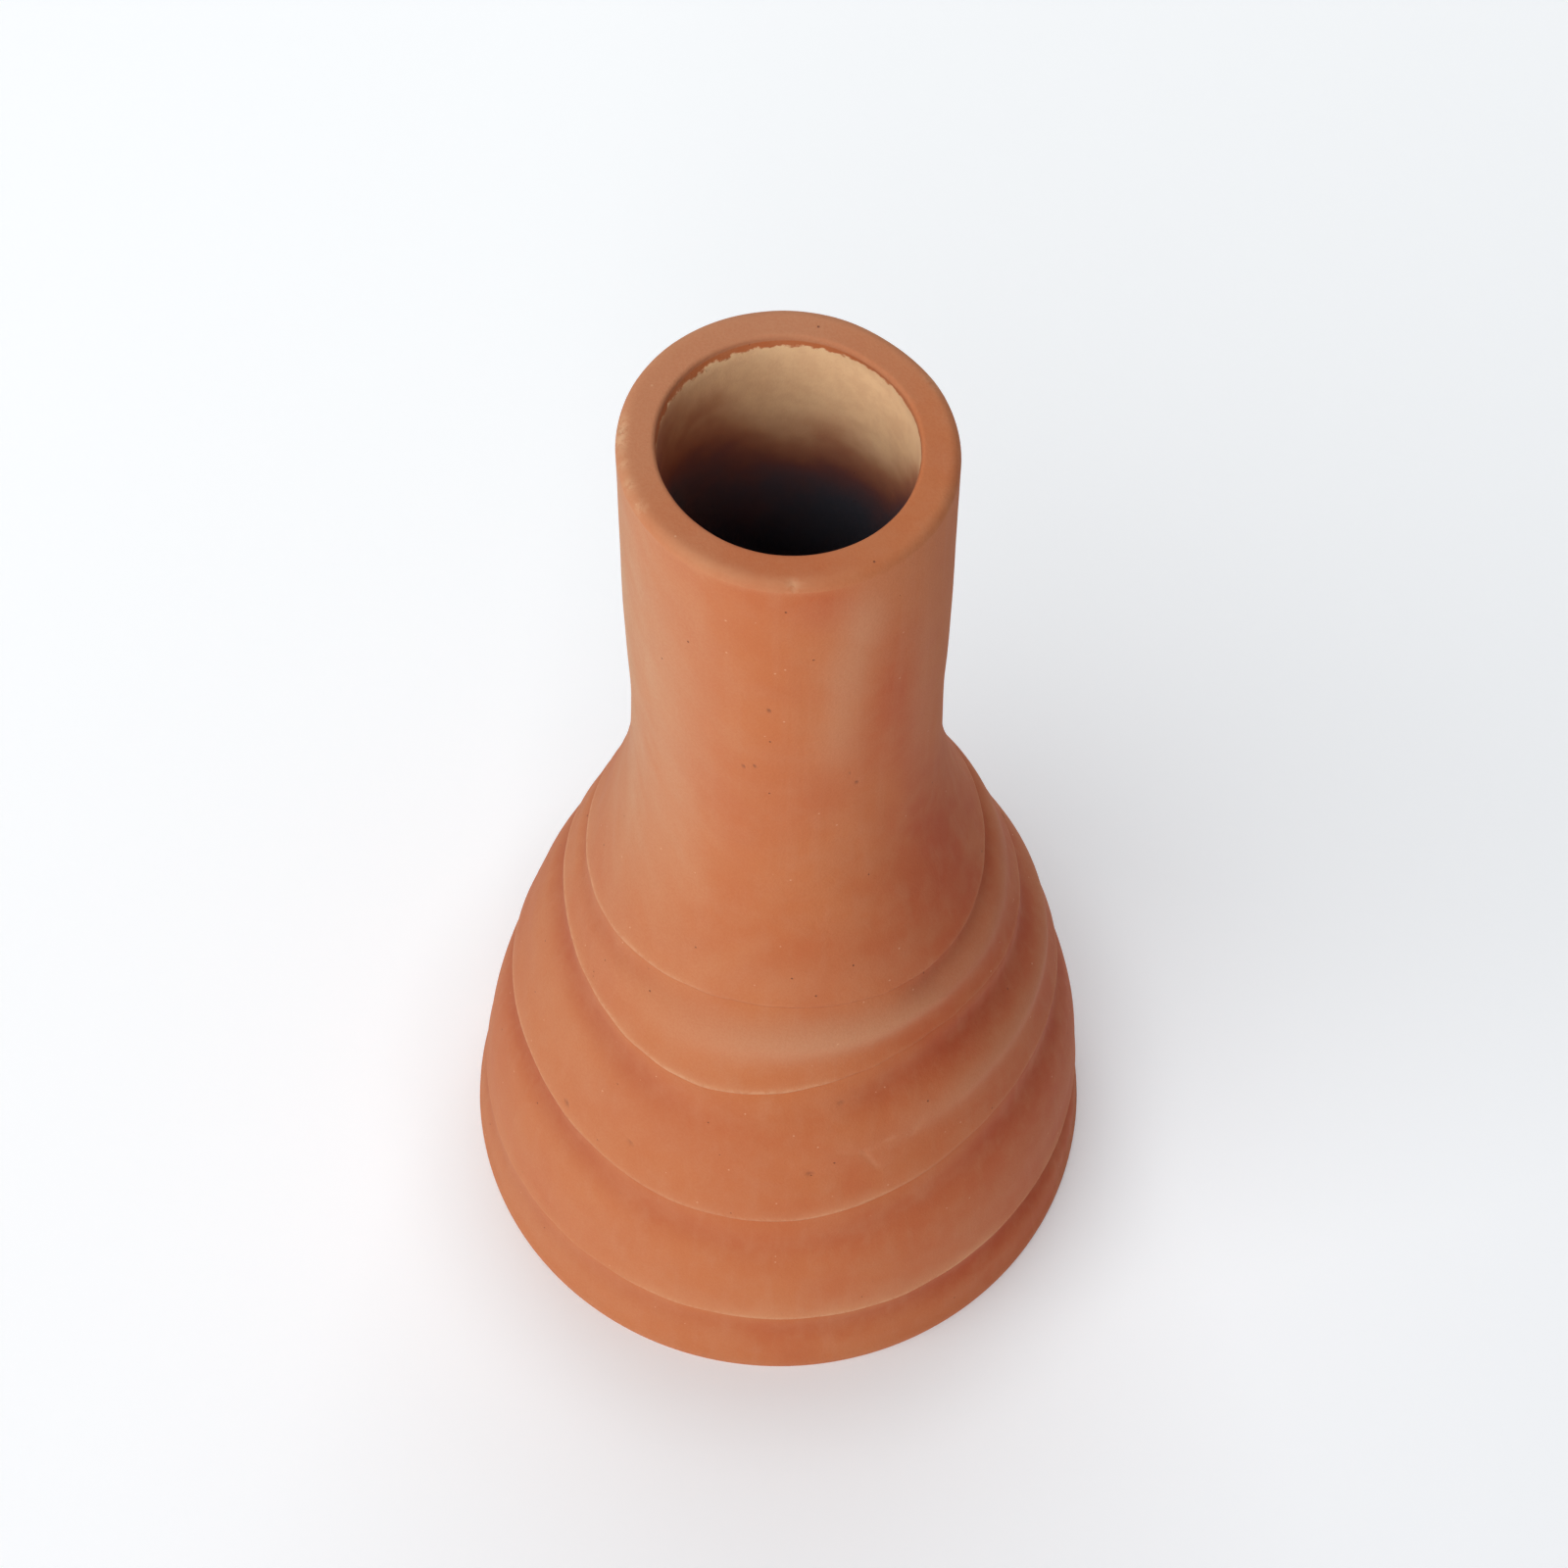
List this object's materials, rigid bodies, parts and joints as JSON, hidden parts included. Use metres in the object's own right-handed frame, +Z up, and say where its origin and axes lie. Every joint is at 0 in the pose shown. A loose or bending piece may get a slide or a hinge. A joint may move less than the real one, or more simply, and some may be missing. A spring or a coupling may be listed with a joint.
{
  "type": "bottle vase",
  "caption": "Unglazed terracotta bottle vase with a straight open neck, a flat lip and a flared body stepped by uneven overlapping crests.",
  "frame": {"origin": "centre of the flat base, on the surface that the vase stands on", "axes": "+Z up through the neck and out of the mouth, -Y towards the front view, +X to the right"},
  "size_m": [0.1415, 0.1414, 0.25],
  "materials": {
    "fired_clay": "matte",
    "raw_clay_floor": "matte, slightly sandy"
  },
  "bodies": {
    "root": {"neck": "fired_clay", "shoulder": "fired_clay", "upper_collar": "fired_clay", "middle_collar": "fired_clay", "lower_collar": "fired_clay", "foot_band": "fired_clay", "floor_disc": "raw_clay_floor"}
  },
  "joints": []
}
